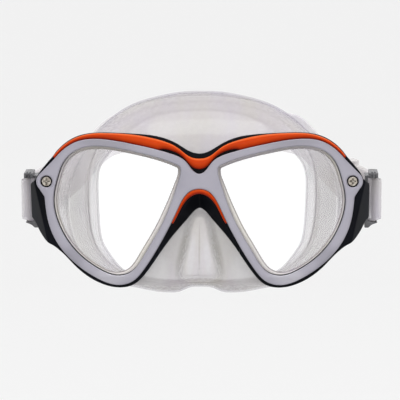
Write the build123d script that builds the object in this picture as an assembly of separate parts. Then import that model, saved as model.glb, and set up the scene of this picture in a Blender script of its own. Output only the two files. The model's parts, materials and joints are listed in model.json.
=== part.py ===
from build123d import *
import math
import os

# Diving mask. Millimetres. +X is the wearer's left, the mask looks along -Y, +Z is up.
# The origin lies on the middle plane at the bridge of the wearer's nose.

# ---------------------------------------------------------------- driving dimensions
BEZEL_FRONT = -30.0      # Y of the flat front face
BEZEL_REAR = -27.6
TRIM_FRONT = -29.8
GLASS_FRONT = -26.8
GLASS_REAR = -22.8
SEAT_REAR = -21.4        # back of the silicone seat that grips the glass
FRAME_REAR = -19.0
SKIRT_FRONT = -18.7
SKIRT_WALL = 1.8
NOSE_FRONT = -29.5
NOSE_WALL = 1.6

LIP_INSET = 1.5          # silicone lip showing inside the bezel opening
GLASS_OVERLAP = 1.6      # glass edge beyond the bezel opening
SEAT_OVERLAP = 2.5       # silicone seat beyond the bezel opening
NECK_OVERLAP = 0.7       # silicone neck through the frame's shoulder
GAP = 0.1

FACE_RADIUS = 84.0       # the face's curve, seen from above
FACE_LEAN = 3.4          # degrees, forehead back
SEAL_THICK = 1.6
SEAL_Y = 1.5             # where the skirt's cone reaches the full width of the face ring
TEMPLE_Y = 48.0

EAR_X, EAR_Z, EAR_R = 75.2, 5.2, 4.95
BOSS_R = 5.4             # the frame behind each ear
SCREW_HEAD_R, SCREW_R, SCREW_SINK_R = 2.3, 1.22, 2.9
SCREW_TOP, SCREW_SEAT, SCREW_TIP = -29.6, -28.2, -21.5
DRIVE_LENGTH, DRIVE_WIDTH, DRIVE_DEPTH = 2.8, 0.55, 0.7
INSERT_R, INSERT_TIP = 1.7, -20.6

PIVOT_Y, PIVOT_Z = 0.0, -3.6
PIVOT_R, PIVOT_HEAD_R, PIVOT_THREAD_R = 2.1, 3.3, 1.47
PIVOT_INSERT_R = 2.58
ARM_INNER, ARM_OUTER, ARM_END_R = 78.6, 82.0, 9.0
WING_ROOT_X, WING_X = 66.0, 83.8
WING_BACK = -10.5        # Y where the wing ends and the arm starts
WASHER, WASHER_R = 0.45, 5.0
BUCKLE_INNER, BUCKLE_OUTER, BUCKLE_R = 82.5, 84.0, 8.5
BUCKLE_FRONT, BUCKLE_BACK = -1.0, 6.8
CHEEK_LOW, CHEEK_HIGH, CHEEK_X = 11.3, 12.6, 88.9
CHEEK_ROOT, CHEEK_NOSE = 84.4, -2.4      # where the upper cheek's front tongue starts, and how far it reaches
FOOT = 14.5
PIN_X, PIN_BACK, PIN_R, PIN_LOW = 87.2, 1.5, 1.15, -12.0
LEVER_X, LEVER_BACK, LEVER_PIN_R = 86.4, 4.4, 0.8
LEVER_CLEAR, LEVER_THICK = 0.2, 1.6
LIP_DEEP, LIP_DROP = 1.8, 0.8            # the lever's thumb lip, and how far it hangs under the cheek's top
SPRING_WIRE, SPRING_R, SPRING_PITCH, SPRING_TURNS = 0.3, 1.25, 0.4, 1.5
SPRING_ROOM = 1.1

STRAP_TILT = 12.0        # degrees up from level, at rest
STRAP_WIDTH, STRAP_THICK = 22.0, 1.6
STRAP_PANEL, STRAP_SLOT, STRAP_SLOT_LENGTH = 30.0, 8.0, 66.0
STRAP_RISE = 16.5        # how far the band climbs above its own line on the way to the back of the head
RISE_START, RISE_END = 75.0, 49.0
PANEL_END, BAND_START = 28.0, 42.0
STRAP_SPAN = (-50, 200)  # front to back, far enough to hold the whole strap
STRAP_FOLD_R = PIN_R + 0.05 + STRAP_THICK / 2
STRAP_STRAIGHT = 9.0
TEMPLE_BEND = (35.0, 18.0)               # radius and turn, beside the temple
SIDE_BEND = (300.0, 15.0)                # and along the side of the head
TAIL_ANGLE, TAIL_BEND_R, TAIL_TURN = 14.0, 10.0, 9.0
TAIL_GAP = 0.25
KEEPER_AT, KEEPER_WIDTH, KEEPER_WALL, KEEPER_CLEAR = 4.0, 7.0, 1.1, 0.3
KEEPER_SLACK = 0.5       # spare height inside the keeper

# ---------------------------------------------------------------- outlines, (x, z), +X half
APERTURE = [
    (10.3, 13.0), (14.5, 14.8), (25, 18.1), (37, 20.8), (50, 22.5), (60, 20.8), (66.6, 15.1),
    (69.8, 7), (71.7, -3), (69.4, -15), (60, -29.7), (49, -38.0), (39.5, -41.0), (33.6, -39.3),
    (27.3, -31.3), (19.5, -18), (14.0, -5.8), (10.2, 5.5), (9.2, 10.3),
]
BEZEL_TOP = [
    (0, 8.9), (2.6, 10.1), (6.5, 14.9), (9.5, 17.1), (13.5, 18.7), (20, 20.6), (35, 24.0), (50, 26.1),
    (60, 24.9), (66.5, 21.2), (71.6, 15.9),
]
BEZEL_LOW = [
    (76.05, -2.4), (75.7, -6), (74.4, -14), (70.2, -24.3), (60, -35.8), (50, -42.4),
    (39.5, -45.6), (33, -44.0), (27.5, -38.5), (20, -26.9), (14.5, -16.8), (11.0, -9.5),
    (8.0, -3.5), (4.5, 0.3), (0, 1.5),
]
FRAME_TOP = [
    (0, 19.0), (4, 19.8), (10, 23.3), (19, 27.1), (28, 28.5), (40, 29.2), (50, 29.4),
    (60, 27.7), (67.5, 23.2), (72.3, 17.7),
]
FRAME_LOW = [
    (72.5, -26.0), (67.5, -29.9), (60, -37.5), (50, -44.3), (39, -47.0), (32.5, -45.6),
    (27.0, -40.6), (20, -30.7), (12.5, -20.6), (5, -11.9), (2.3, -8.9), (0, -7.8),
]
WING_LOW = [(72.5, -26.0), (75, -24.6), (78, -21.2), (79.8, -18.4), (81.4, -15.4), (WING_X, -12.6)]
WING_TOP = [(72.3, 17.7), (76.2, 13.2), (79.2, 9.4), (80.6, 6.2), (WING_X, 4.3)]
WING_FACET = [(81.2, 4.5), (74.6, -24.5)]        # the line on the front where the wing starts to slope back
ARCH_FACET = [(3.3, -1.8), (13.0, -15.7), (2.3, -8.9)]     # two points on the front, and one on the slope
FACET_BACK = -22.0                               # Y of that one
FACET_REACH = (84.1, -18.5, -7.0)                # and a point (x, y, z) on that slope
BROW_TOP = [
    (0, 16.4), (3.5, 16.9), (7, 18.9), (10.5, 21.7), (15, 24.1), (21, 26.0), (29, 27.7),
    (45, 29.0), (55, 28.5), (63, 25.7), (68.3, 21.8), (71.9, 17.5),
]
BROW_LOW = [(0, 11.2), (3, 12.0), (7, 16.1), (10.5, 18.9), (14, 20.4), (18, 21.1), (21, 20.2)]
ARCH_LOW = [(0, -0.9), (3.3, -1.8), (6.2, -4.0), (8.5, -7.2), (10.7, -11.5), (13.0, -15.7)]

SKIRT_FRONT_EDGE = [
    (0, 17.5), (12, 22), (30, 27), (50, 27.5), (64, 21.5), (71, 5), (71, -10), (64, -29),
    (50, -42), (36, -45.5), (18, -46), (0, -45),
]
SKIRT_REAR_EDGE = [
    (0, 50.6), (15, 49.6), (33, 45), (47, 37), (60, 24.5), (68.5, 9), (71.5, -6), (69, -21),
    (59, -37), (42, -46), (20, -49.9), (0, -47.6),
]
FACE_OPENING = [
    (0, 41.5), (18, 39.5), (33, 32.5), (44.5, 19.5), (50, 10), (52, -5), (51.5, -18),
    (48, -29), (41, -38), (28, -43), (14, -44.5), (0, -44.5),
]
NOSE_BASE = [(0, -9.4), (4, -13.2), (9, -20.6), (13.3, -29), (15.0, -37.5), (11, -43.2), (0, -44.4)]
NOSE_TIP = [(0, -15.0), (2.5, -17.0), (6, -24.0), (8.8, -32.0), (9.2, -37), (6.5, -40.6), (0, -41.4)]


# ---------------------------------------------------------------- helpers
def mirrored(points):
    """A left-to-right run of points from its +X half, which starts on the middle plane."""
    return [(-x, z) for x, z in reversed(points[1:])] + points


def both_sides(shape):
    return shape + mirror(shape, Plane.YZ)


def slab(face, y_front, y_rear):
    """The plate between two Y values whose outline is a face drawn as (x, z)."""
    plane = Plane((0, y_rear, 0), x_dir=(1, 0, 0), z_dir=(0, -1, 0))
    return extrude(plane * face, y_rear - y_front)


def loop(points):
    """A closed symmetric outline from its +X half, whose ends lie on the middle plane."""
    left = [(-x, z) for x, z in reversed(points[1:-1])]
    return Spline(*(points + left), periodic=True)


def grown_aperture(amount):
    """The lens opening's outline moved outwards by an amount."""
    curve = Spline(*APERTURE, periodic=True)
    steps = 44
    points = []
    for k in range(steps):
        at, along = curve.position_at(k / steps), curve.tangent_at(k / steps)
        points.append((at.X - along.Y * amount, at.Y + along.X * amount))
    return make_face(Spline(*points, periodic=True))


def cylinder_x(radius, x_low, x_high, y, z):
    return Pos((x_low + x_high) / 2, y, z) * Rot(Y=90) * Cylinder(radius, x_high - x_low)


def cylinder_y(radius, y_low, y_high, x, z):
    return Pos(x, (y_low + y_high) / 2, z) * Rot(X=90) * Cylinder(radius, y_high - y_low)


def cylinder_z(radius, z_low, z_high, x, y):
    return Pos(x, y, (z_low + z_high) / 2) * Cylinder(radius, z_high - z_low)


def block(x, y, z):
    """A box from its (low, high) pairs."""
    size = (x[1] - x[0], y[1] - y[0], z[1] - z[0])
    return Pos(sum(x) / 2, sum(y) / 2, sum(z) / 2) * Box(*size)


def ribbon(start, heading, moves, thickness):
    """The flat shape of a band that follows straight runs and bends.

    heading is in degrees from +X. A move is (length,) or (radius, turn), turn positive to the left.
    """
    sides = {1: [], -1: []}
    x, y = start
    for move in moves:
        a = math.radians(heading)
        if len(move) == 1:
            ends = (x + move[0] * math.cos(a), y + move[0] * math.sin(a))
            for side in sides:
                nx, ny = -math.sin(a) * side * thickness / 2, math.cos(a) * side * thickness / 2
                sides[side].append(Line((x + nx, y + ny), (ends[0] + nx, ends[1] + ny)))
        else:
            radius, turn = move
            sign = math.copysign(1, turn)
            cx, cy = x - math.sin(a) * radius * sign, y + math.cos(a) * radius * sign
            for side in sides:
                r = radius - sign * side * thickness / 2
                at = [a + math.radians(turn * k) - sign * math.pi / 2 for k in (0, 0.5, 1)]
                bend = [(cx + r * math.cos(t), cy + r * math.sin(t)) for t in at]
                sides[side].append(ThreePointArc(*bend))
            heading += turn
            b = math.radians(heading) - sign * math.pi / 2
            ends = (cx + radius * math.cos(b), cy + radius * math.sin(b))
        x, y = ends
    caps = [Line(sides[1][k] @ k_end, sides[-1][k] @ k_end) for k, k_end in ((0, 0), (-1, 1))]
    return make_face(sides[1] + sides[-1] + caps), (x, y), heading


# ---------------------------------------------------------------- shared faces
def bezel_face():
    top = Spline(*mirrored(BEZEL_TOP))
    low = Spline(*mirrored(BEZEL_LOW[::-1]))
    corner = 44

    def ear_point(sign, degrees):
        a = math.radians(degrees)
        return (sign * (EAR_X + EAR_R * math.cos(a)), EAR_Z + EAR_R * math.sin(a))

    low_x, low_z = BEZEL_LOW[0]
    edges = [top, low]
    for sign in (1, -1):
        end = ear_point(sign, corner)
        stop = ear_point(sign, -46)
        edges.append(Line((sign * BEZEL_TOP[-1][0], BEZEL_TOP[-1][1]), end))
        edges.append(ThreePointArc(end, ear_point(sign, 0), stop))
        edges.append(Line(stop, (sign * low_x, low_z)))
    return make_face(edges)


def frame_face():
    top = Spline(*mirrored(FRAME_TOP))
    low = Spline(*mirrored(FRAME_LOW[::-1]))
    (x_top, z_top), (x_low, z_low) = FRAME_TOP[-1], FRAME_LOW[0]
    sides = [Line((s * x_top, z_top), (s * x_low, z_low)) for s in (1, -1)]
    return make_face([top, low] + sides)


BEZEL_FACE = bezel_face()


def round_lens(amount, y_front, y_rear):
    """Both lens openings, grown by an amount, as solids between two Y values."""
    return both_sides(slab(grown_aperture(amount), y_front, y_rear))


# ---------------------------------------------------------------- frame, bezel, trims, glass
def beyond(origin, along, back):
    """A thick block on the outer side of the plane through three points."""
    origin, along, back = Vector(*origin), Vector(*along), Vector(*back)
    plane = Plane(origin=origin, z_dir=(along - origin).cross(back - origin))
    return plane * Pos(0, 0, 20) * Box(90, 90, 40)


def wing():
    """One side arm: it leaves the frame's edge, turns back and ends round the buckle pivot."""
    above = Polyline(
        (WING_ROOT_X, BEZEL_REAR), (WING_X, BEZEL_REAR), (WING_X, WING_BACK),
        (ARM_OUTER, WING_BACK), (ARM_OUTER, ARM_END_R + 1), (ARM_INNER, ARM_END_R + 1),
        (ARM_INNER, -14), (75, FRAME_REAR), (WING_ROOT_X, FRAME_REAR), close=True,
    )
    plan = extrude(Pos(0, 0, -40) * make_face(above), 80)
    outline = make_face([
        Spline(*WING_LOW),
        Polyline(*WING_TOP),
        Line(WING_LOW[-1], WING_TOP[-1]),
        Polyline(WING_LOW[0], (WING_ROOT_X, -30), (WING_ROOT_X, 20), WING_TOP[0]),
    ])
    front = slab(outline, BEZEL_REAR, ARM_END_R + 2)
    high, low = PIVOT_Z + ARM_END_R, PIVOT_Z - ARM_END_R
    side = Polyline(
        (-40, 30), (-22, 16), (-12, 5.4), (PIVOT_Y, high), (ARM_END_R + 1, high),
        (ARM_END_R + 1, low), (PIVOT_Y, low), (-12, -17), (-22, -24), (-40, -36), close=True,
    )
    elevation = extrude(Plane.YZ * make_face(side), 100)
    (x_high, z_high), (x_low, z_low) = WING_FACET
    slope = beyond((x_high, BEZEL_REAR, z_high), (x_low, BEZEL_REAR, z_low), FACET_REACH)
    arm = (plan & front & elevation) - slope
    tip = block((60, 90), (PIVOT_Y, ARM_END_R + 3), (-40, 40))
    tip -= cylinder_x(ARM_END_R, 59, 91, PIVOT_Y, PIVOT_Z)
    return arm - tip


def arch_facet():
    """What is cut away under the nose arch, so that each half slopes back from the orange strip."""
    (x_high, z_high), (x_out, z_out), (x_back, z_back) = ARCH_FACET
    slope = beyond((x_high, BEZEL_REAR, z_high), (x_back, FACET_BACK, z_back), (x_out, BEZEL_REAR, z_out))
    return slope & block((0, 20), (-40, FRAME_REAR - 0.4), (-30, 2))


def main_frame():
    frame = slab(frame_face(), BEZEL_REAR, FRAME_REAR)
    frame += both_sides(wing() + cylinder_y(BOSS_R, BEZEL_REAR, FRAME_REAR, EAR_X, EAR_Z))
    frame -= round_lens(SEAT_OVERLAP + GAP, BEZEL_REAR - 1, SEAT_REAR + GAP)
    frame -= round_lens(NECK_OVERLAP + GAP, BEZEL_REAR - 1, FRAME_REAR + 5)
    frame -= both_sides(arch_facet())
    frame -= both_sides(cylinder_y(INSERT_R, BEZEL_REAR - 1, INSERT_TIP + GAP, EAR_X, EAR_Z))
    frame -= both_sides(cylinder_x(PIVOT_INSERT_R + 0.02, ARM_INNER - 1, ARM_OUTER + 1, PIVOT_Y, PIVOT_Z))
    return frame


def front_bezel():
    bezel = slab(BEZEL_FACE, BEZEL_FRONT, BEZEL_REAR)
    bezel -= round_lens(0, BEZEL_FRONT - 1, BEZEL_REAR + 1)
    hole = cylinder_y(SCREW_SINK_R, BEZEL_FRONT - 1, SCREW_SEAT, EAR_X, EAR_Z)
    hole += cylinder_y(SCREW_R + 0.2, BEZEL_FRONT, BEZEL_REAR + 1, EAR_X, EAR_Z)
    return bezel - both_sides(hole)


def brow_trim():
    top = Spline(*mirrored(BROW_TOP))
    low = Spline(*mirrored(BROW_LOW))
    x_end, z_end = BROW_TOP[-1]
    x_in, z_in = BROW_LOW[-1]
    edges = [top, low]
    for s in (1, -1):
        side = [(x_end, z_end), (x_end - 1, z_end - 2), (50, 22), (x_in, z_in)]
        edges.append(Polyline(*[(s * x, z) for x, z in side]))
    trim = slab(make_face(edges), TRIM_FRONT, BEZEL_REAR)
    return trim - slab(BEZEL_FACE, TRIM_FRONT - 1, BEZEL_REAR + 1)


def nose_arch_trim():
    low = Spline(*mirrored(ARCH_LOW))
    top = Polyline(*mirrored([(0, 3), (9, 3), (14, -14.8), ARCH_LOW[-1]]))
    trim = slab(make_face([low, top]), TRIM_FRONT, BEZEL_REAR)
    return trim - slab(BEZEL_FACE, TRIM_FRONT - 1, BEZEL_REAR + 1)


def lens():
    return slab(grown_aperture(GLASS_OVERLAP - 0.05), GLASS_FRONT + 0.02, GLASS_REAR - 0.02)


# ---------------------------------------------------------------- skirt
def skirt_hull(inset, y_front):
    """The skirt's outer form, or its hollow when inset: a cone out to the face ring, then a tube back."""
    def edge(points, shrink, y):
        place = Plane((0, y, 0), x_dir=(1, 0, 0), z_dir=(0, -1, 0))
        outline = [(x * (1 - shrink / 71), z - math.copysign(shrink, z)) for x, z in points]
        return place * make_face(loop(outline))

    sections = [
        edge(SKIRT_FRONT_EDGE, inset, y_front),
        edge(SKIRT_REAR_EDGE, inset, SEAL_Y),
        edge(SKIRT_REAR_EDGE, inset, TEMPLE_Y),
    ]
    return loft(sections, ruled=True)


def nose_pocket(inset, y_base, y_tip):
    """The pocket for the nose, or its hollow when inset."""
    sections = []
    for points, y in ((NOSE_BASE, y_base), (NOSE_TIP, y_tip)):
        place = Plane((0, y, 0), x_dir=(1, 0, 0), z_dir=(0, -1, 0))
        outline = [(x * (1 - inset / 14), z - math.copysign(inset, z + 28)) for x, z in points]
        sections.append(place * make_face(loop(outline)))
    return loft(sections, ruled=True)


def face_block(depth):
    """Everything behind the face's surface, moved forward by depth."""
    solid = Pos(0, FACE_RADIUS, 0) * Rot(X=-FACE_LEAN) * Cylinder(FACE_RADIUS + depth, 200)
    return solid + block((-120, 120), (FACE_RADIUS, FACE_RADIUS + 100), (-100, 100))


def skirt():
    hull = skirt_hull(0, SKIRT_FRONT)
    hollow = skirt_hull(SKIRT_WALL, SKIRT_FRONT + SKIRT_WALL)
    shell = hull - (hollow - face_block(SEAL_THICK))
    opening = slab(make_face(loop(FACE_OPENING)), SKIRT_FRONT + SKIRT_WALL, TEMPLE_Y)
    shell -= opening & face_block(SEAL_THICK + 0.3)
    shell -= face_block(0)
    shell += nose_pocket(0, SKIRT_FRONT + 1, NOSE_FRONT)
    shell -= nose_pocket(NOSE_WALL, SKIRT_FRONT + SKIRT_WALL + 1, NOSE_FRONT + NOSE_WALL)

    seat = round_lens(SEAT_OVERLAP, BEZEL_REAR, SEAT_REAR)
    seat += round_lens(NECK_OVERLAP, BEZEL_REAR + 1, SKIRT_FRONT + 0.5)
    shell += seat
    shell -= round_lens(-LIP_INSET, BEZEL_REAR - 1, SKIRT_FRONT + SKIRT_WALL + 0.5)
    shell -= round_lens(GLASS_OVERLAP, GLASS_FRONT, GLASS_REAR)
    return shell


# ---------------------------------------------------------------- screws, inserts, washers
def bezel_screw():
    screw = cylinder_y(SCREW_HEAD_R, SCREW_TOP, SCREW_SEAT, EAR_X, EAR_Z)
    screw += cylinder_y(SCREW_R, SCREW_SEAT - 0.2, SCREW_TIP, EAR_X, EAR_Z)
    for angle in (0, 90):
        slot = Box(DRIVE_LENGTH, 2 * DRIVE_DEPTH, DRIVE_WIDTH)
        screw -= Pos(EAR_X, SCREW_TOP, EAR_Z) * Rot(Y=angle) * slot
    return screw


def bezel_screw_insert():
    sleeve = cylinder_y(INSERT_R, BEZEL_REAR + GAP, INSERT_TIP, EAR_X, EAR_Z)
    return sleeve - cylinder_y(SCREW_R + 0.02, BEZEL_REAR - 1, FRAME_REAR, EAR_X, EAR_Z)


def pivot_screw(clearance=0.0):
    """Countersunk shoulder screw; with a clearance it is the hole it turns in."""
    sink = PIVOT_HEAD_R - PIVOT_R
    cone = Cone(PIVOT_R + clearance, PIVOT_HEAD_R + clearance, sink)
    head = Pos(BUCKLE_OUTER - 0.05 - sink / 2, PIVOT_Y, PIVOT_Z) * Rot(Y=90) * cone
    shoulder = cylinder_x(PIVOT_R + clearance, ARM_OUTER, BUCKLE_INNER + 0.3, PIVOT_Y, PIVOT_Z)
    shank = cylinder_x(PIVOT_THREAD_R, ARM_INNER + 0.4, ARM_OUTER + 0.2, PIVOT_Y, PIVOT_Z)
    return head + shoulder + shank


def pivot_screw_insert():
    sleeve = cylinder_x(PIVOT_INSERT_R, ARM_INNER, ARM_OUTER, PIVOT_Y, PIVOT_Z)
    return sleeve - cylinder_x(PIVOT_THREAD_R + 0.03, ARM_INNER - 1, ARM_OUTER + 1, PIVOT_Y, PIVOT_Z)


def pivot_washer():
    disc = cylinder_x(WASHER_R, ARM_OUTER, ARM_OUTER + WASHER, PIVOT_Y, PIVOT_Z)
    return disc - cylinder_x(PIVOT_R + 0.05, ARM_OUTER - 1, ARM_OUTER + 1, PIVOT_Y, PIVOT_Z)


# ---------------------------------------------------------------- buckle, in its own level frame
# Here the pivot is at y = z = 0, the strap leaves along +Y, and the width of the strap is along Z.
def lower_cheek():
    """The lower cheek, whose underside slopes in from the strap's fold to a foot under the plate."""
    outline = Polyline(
        (BUCKLE_INNER, -CHEEK_LOW), (CHEEK_X, -CHEEK_LOW), (CHEEK_X, -11.9), (86.1, -12.9), (84.4, -FOOT),
        (BUCKLE_INNER, -FOOT), close=True,
    )
    plane = Plane((0, BUCKLE_BACK, 0), x_dir=(1, 0, 0), z_dir=(0, -1, 0))
    return extrude(plane * make_face(outline), BUCKLE_BACK - BUCKLE_FRONT)


def buckle_base():
    upper = (CHEEK_LOW, CHEEK_HIGH)
    base = cylinder_x(BUCKLE_R, BUCKLE_INNER, BUCKLE_OUTER, 0, 0)
    base += block((BUCKLE_INNER, BUCKLE_OUTER), (BUCKLE_FRONT, BUCKLE_BACK), (-CHEEK_HIGH, CHEEK_HIGH))
    base += block((BUCKLE_INNER, CHEEK_X), (BUCKLE_FRONT, BUCKLE_BACK), upper)
    base += block((CHEEK_ROOT, CHEEK_X), (CHEEK_NOSE, 0), upper)
    base += lower_cheek()
    base -= Pos(0, -PIVOT_Y, -PIVOT_Z) * pivot_screw(0.05)
    base -= cylinder_z(PIN_R + 0.01, -20, 20, PIN_X, PIN_BACK)
    base -= cylinder_z(LEVER_PIN_R + 0.01, CHEEK_LOW + 0.25, 20, LEVER_X, LEVER_BACK)
    return base


def strap_pin():
    return cylinder_z(PIN_R, PIN_LOW, CHEEK_HIGH, PIN_X, PIN_BACK)


def release_lever():
    """A plate over the upper cheek, with a grooved thumb lip that hangs over the cheek's front."""
    low = CHEEK_HIGH + LEVER_CLEAR
    high, front = low + LEVER_THICK, CHEEK_NOSE - 0.5 - LIP_DEEP
    lever = block((CHEEK_ROOT, CHEEK_X), (front, BUCKLE_BACK - 0.4), (low, high))
    lever += block((CHEEK_ROOT, CHEEK_X), (front, front + LIP_DEEP), (CHEEK_HIGH - LIP_DROP, high))
    for x in (85.8, 87.3):
        groove = (x - 0.35, x + 0.35)
        lever -= block(groove, (front - 1, front + 0.6), (CHEEK_LOW - 1, high + 1))
        lever -= block(groove, (front - 1, front + 4), (high - 0.6, high + 1))
    lever -= cylinder_z(LEVER_PIN_R + 0.04, low - 1, high + 1, LEVER_X, LEVER_BACK)
    lever -= cylinder_z(SPRING_R + 0.45, low - 1, low + SPRING_ROOM, LEVER_X, LEVER_BACK)
    return lever


def lever_pin():
    top = CHEEK_HIGH + LEVER_CLEAR + LEVER_THICK - 0.1
    return cylinder_z(LEVER_PIN_R, CHEEK_LOW + 0.25, top, LEVER_X, LEVER_BACK)


def lever_spring():
    path = Helix(SPRING_PITCH, SPRING_PITCH * SPRING_TURNS, SPRING_R)
    section = Plane(origin=path @ 0, z_dir=path % 0) * Circle(SPRING_WIRE / 2)
    return Pos(LEVER_X, LEVER_BACK, CHEEK_HIGH + LEVER_CLEAR) * sweep(section, path=path)


# ---------------------------------------------------------------- strap, in the same frame
STRAP_START = (PIN_X - STRAP_FOLD_R, PIN_BACK)
STRAP_RUN = [(STRAP_STRAIGHT,), TEMPLE_BEND, SIDE_BEND]


def strap_moves():
    """From the buckle's fold to the middle of the back of the head."""
    reach, heading = STRAP_START[0], 0.0
    for radius, turn in STRAP_RUN[1:]:
        before, heading = math.radians(heading), heading + turn
        reach -= radius * (math.cos(before) - math.cos(math.radians(heading)))
    return STRAP_RUN + [(reach / math.cos(math.radians(heading)), 90 - heading)]


def tail_moves():
    """From the fold round the pin and out along the outside of the strap to its free end."""
    shift = 2 * STRAP_FOLD_R - STRAP_THICK - TAIL_GAP
    turn = math.radians(TAIL_ANGLE)
    arcs = STRAP_FOLD_R + TAIL_BEND_R
    straight = (shift - arcs * (1 - math.cos(turn))) / math.sin(turn)
    used = straight * math.cos(turn) + arcs * math.sin(turn)
    outer = STRAP_THICK + TAIL_GAP
    return [
        (STRAP_FOLD_R, 180 + TAIL_ANGLE), (straight,), (TAIL_BEND_R, -TAIL_ANGLE), (STRAP_STRAIGHT - used,),
        (TEMPLE_BEND[0] + outer, TEMPLE_BEND[1]), (SIDE_BEND[0] + outer, TAIL_TURN),
    ]


def strap_rise(x):
    """How far the band has climbed, at a place across the head."""
    t = min(1.0, max(0.0, (RISE_START - abs(x)) / (RISE_START - RISE_END)))
    return STRAP_RISE * t * t * (3 - 2 * t)


def strap_half(x):
    """Half the band's width: the strap's at the sides, the panel's at the back."""
    t = min(1.0, max(0.0, (BAND_START - abs(x)) / (BAND_START - PANEL_END)))
    return (STRAP_WIDTH + (STRAP_PANEL - STRAP_WIDTH) * t * t * (3 - 2 * t)) / 2


def strap_outline(layer):
    """The band seen from the front, without its slot; layer is how far outside the strap it lies."""
    far, step = 100, 5
    places = [step * k for k in range(far // step + 1)]
    edges = []
    for side in (1, -1):
        edge = [(x, strap_rise(x - layer) + side * strap_half(x)) for x in places]
        edges.append(Spline(*mirrored(edge)))
    edges += [Line((s * far, STRAP_WIDTH / 2), (s * far, -STRAP_WIDTH / 2)) for s in (1, -1)]
    return make_face(edges)


def strap():
    main, _, _ = ribbon(STRAP_START, 90, strap_moves(), STRAP_THICK)
    tail, _, _ = ribbon(STRAP_START, 270, tail_moves(), STRAP_THICK)
    reach = STRAP_PANEL / 2 + STRAP_RISE
    slot = Pos(0, STRAP_RISE) * SlotOverall(STRAP_SLOT_LENGTH, STRAP_SLOT)
    band = extrude(both_sides(main), reach, both=True) & slab(strap_outline(0) - slot, *STRAP_SPAN)
    ends = extrude(both_sides(tail), reach, both=True) & slab(strap_outline(STRAP_THICK + TAIL_GAP), *STRAP_SPAN)
    return band + ends


def strap_keeper():
    """A band round both layers of the strap, behind the first bend, turned with the strap's climb."""
    moves = STRAP_RUN[:2] + [(SIDE_BEND[0], KEEPER_AT)]
    _, (x, y), heading = ribbon(STRAP_START, 90, moves, STRAP_THICK)
    deep = 2 * STRAP_THICK + TAIL_GAP + 2 * KEEPER_CLEAR
    tall = STRAP_WIDTH + 2 * KEEPER_SLACK
    ring = Box(KEEPER_WIDTH, deep + 2 * KEEPER_WALL, tall + 2 * KEEPER_WALL)
    ring -= Box(KEEPER_WIDTH + 2, deep, tall)
    middle = -(STRAP_THICK + TAIL_GAP) / 2
    across = -math.cos(math.radians(heading))
    climb = math.degrees(math.atan((strap_rise(x - across) - strap_rise(x + across)) / 2))
    return Pos(x, y, strap_rise(x)) * Rot(Z=heading) * Rot(Y=-climb) * Pos(0, middle, 0) * ring


# ---------------------------------------------------------------- assembly
def at_buckle(shape):
    """From the buckle's level frame to its place on the arm, tilted up with the strap."""
    return Pos(0, PIVOT_Y, PIVOT_Z) * Rot(X=STRAP_TILT) * shape


def to_right(shape):
    return mirror(shape, Plane.YZ)


def main():
    nodes = {
        "main_frame": main_frame(),
        "front_bezel": front_bezel(),
        "brow_trim": brow_trim(),
        "nose_arch_trim": nose_arch_trim(),
        "lens_left": lens(),
        "lens_right": to_right(lens()),
        "skirt": skirt(),
        "bezel_screws": both_sides(bezel_screw()),
        "bezel_screw_inserts": both_sides(bezel_screw_insert()),
        "pivot_screws": both_sides(pivot_screw()),
        "pivot_screw_inserts": both_sides(pivot_screw_insert()),
        "pivot_washers": both_sides(pivot_washer()),
        "strap": at_buckle(strap()),
    }
    buckle_parts = {
        "buckle_base": buckle_base(),
        "strap_pin": strap_pin(),
        "release_lever": release_lever(),
        "lever_pin": lever_pin(),
        "lever_spring": lever_spring(),
        "strap_keeper": strap_keeper(),
    }
    for name, shape in buckle_parts.items():
        nodes[name + "_left"] = at_buckle(shape)
        nodes[name + "_right"] = to_right(at_buckle(shape))
    os.makedirs("parts", exist_ok=True)
    for name, shape in nodes.items():
        export_step(shape, os.path.join("parts", name + ".step"))


main()
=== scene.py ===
import json
import math

import bmesh
import bpy
import numpy as np
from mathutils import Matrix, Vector
from mathutils.geometry import tessellate_polygon

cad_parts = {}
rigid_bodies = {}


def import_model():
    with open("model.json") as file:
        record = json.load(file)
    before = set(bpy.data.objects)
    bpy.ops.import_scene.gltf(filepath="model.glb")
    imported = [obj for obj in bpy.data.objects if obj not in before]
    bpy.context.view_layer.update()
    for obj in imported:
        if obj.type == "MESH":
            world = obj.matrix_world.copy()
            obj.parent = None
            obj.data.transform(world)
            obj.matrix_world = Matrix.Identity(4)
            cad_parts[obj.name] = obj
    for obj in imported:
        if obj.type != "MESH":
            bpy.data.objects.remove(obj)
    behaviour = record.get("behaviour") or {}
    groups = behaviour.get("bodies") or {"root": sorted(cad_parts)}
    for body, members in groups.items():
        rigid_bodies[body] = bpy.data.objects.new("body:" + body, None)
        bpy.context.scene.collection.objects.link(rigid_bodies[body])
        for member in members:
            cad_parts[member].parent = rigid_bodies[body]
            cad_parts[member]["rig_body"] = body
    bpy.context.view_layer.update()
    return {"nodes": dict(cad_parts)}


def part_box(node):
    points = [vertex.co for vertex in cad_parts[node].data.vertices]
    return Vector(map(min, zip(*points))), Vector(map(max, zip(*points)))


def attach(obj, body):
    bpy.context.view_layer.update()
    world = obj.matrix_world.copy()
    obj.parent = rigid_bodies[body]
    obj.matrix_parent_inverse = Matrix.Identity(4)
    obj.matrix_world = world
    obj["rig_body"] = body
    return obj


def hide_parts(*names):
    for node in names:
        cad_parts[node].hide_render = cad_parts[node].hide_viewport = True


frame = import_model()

# Diving mask. The helpers work in millimetres in the CAD frame; meshes are made in metres.
MM = 0.001
SIDES = (("left", 1), ("right", -1))

nodes = frame["nodes"]


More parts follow.
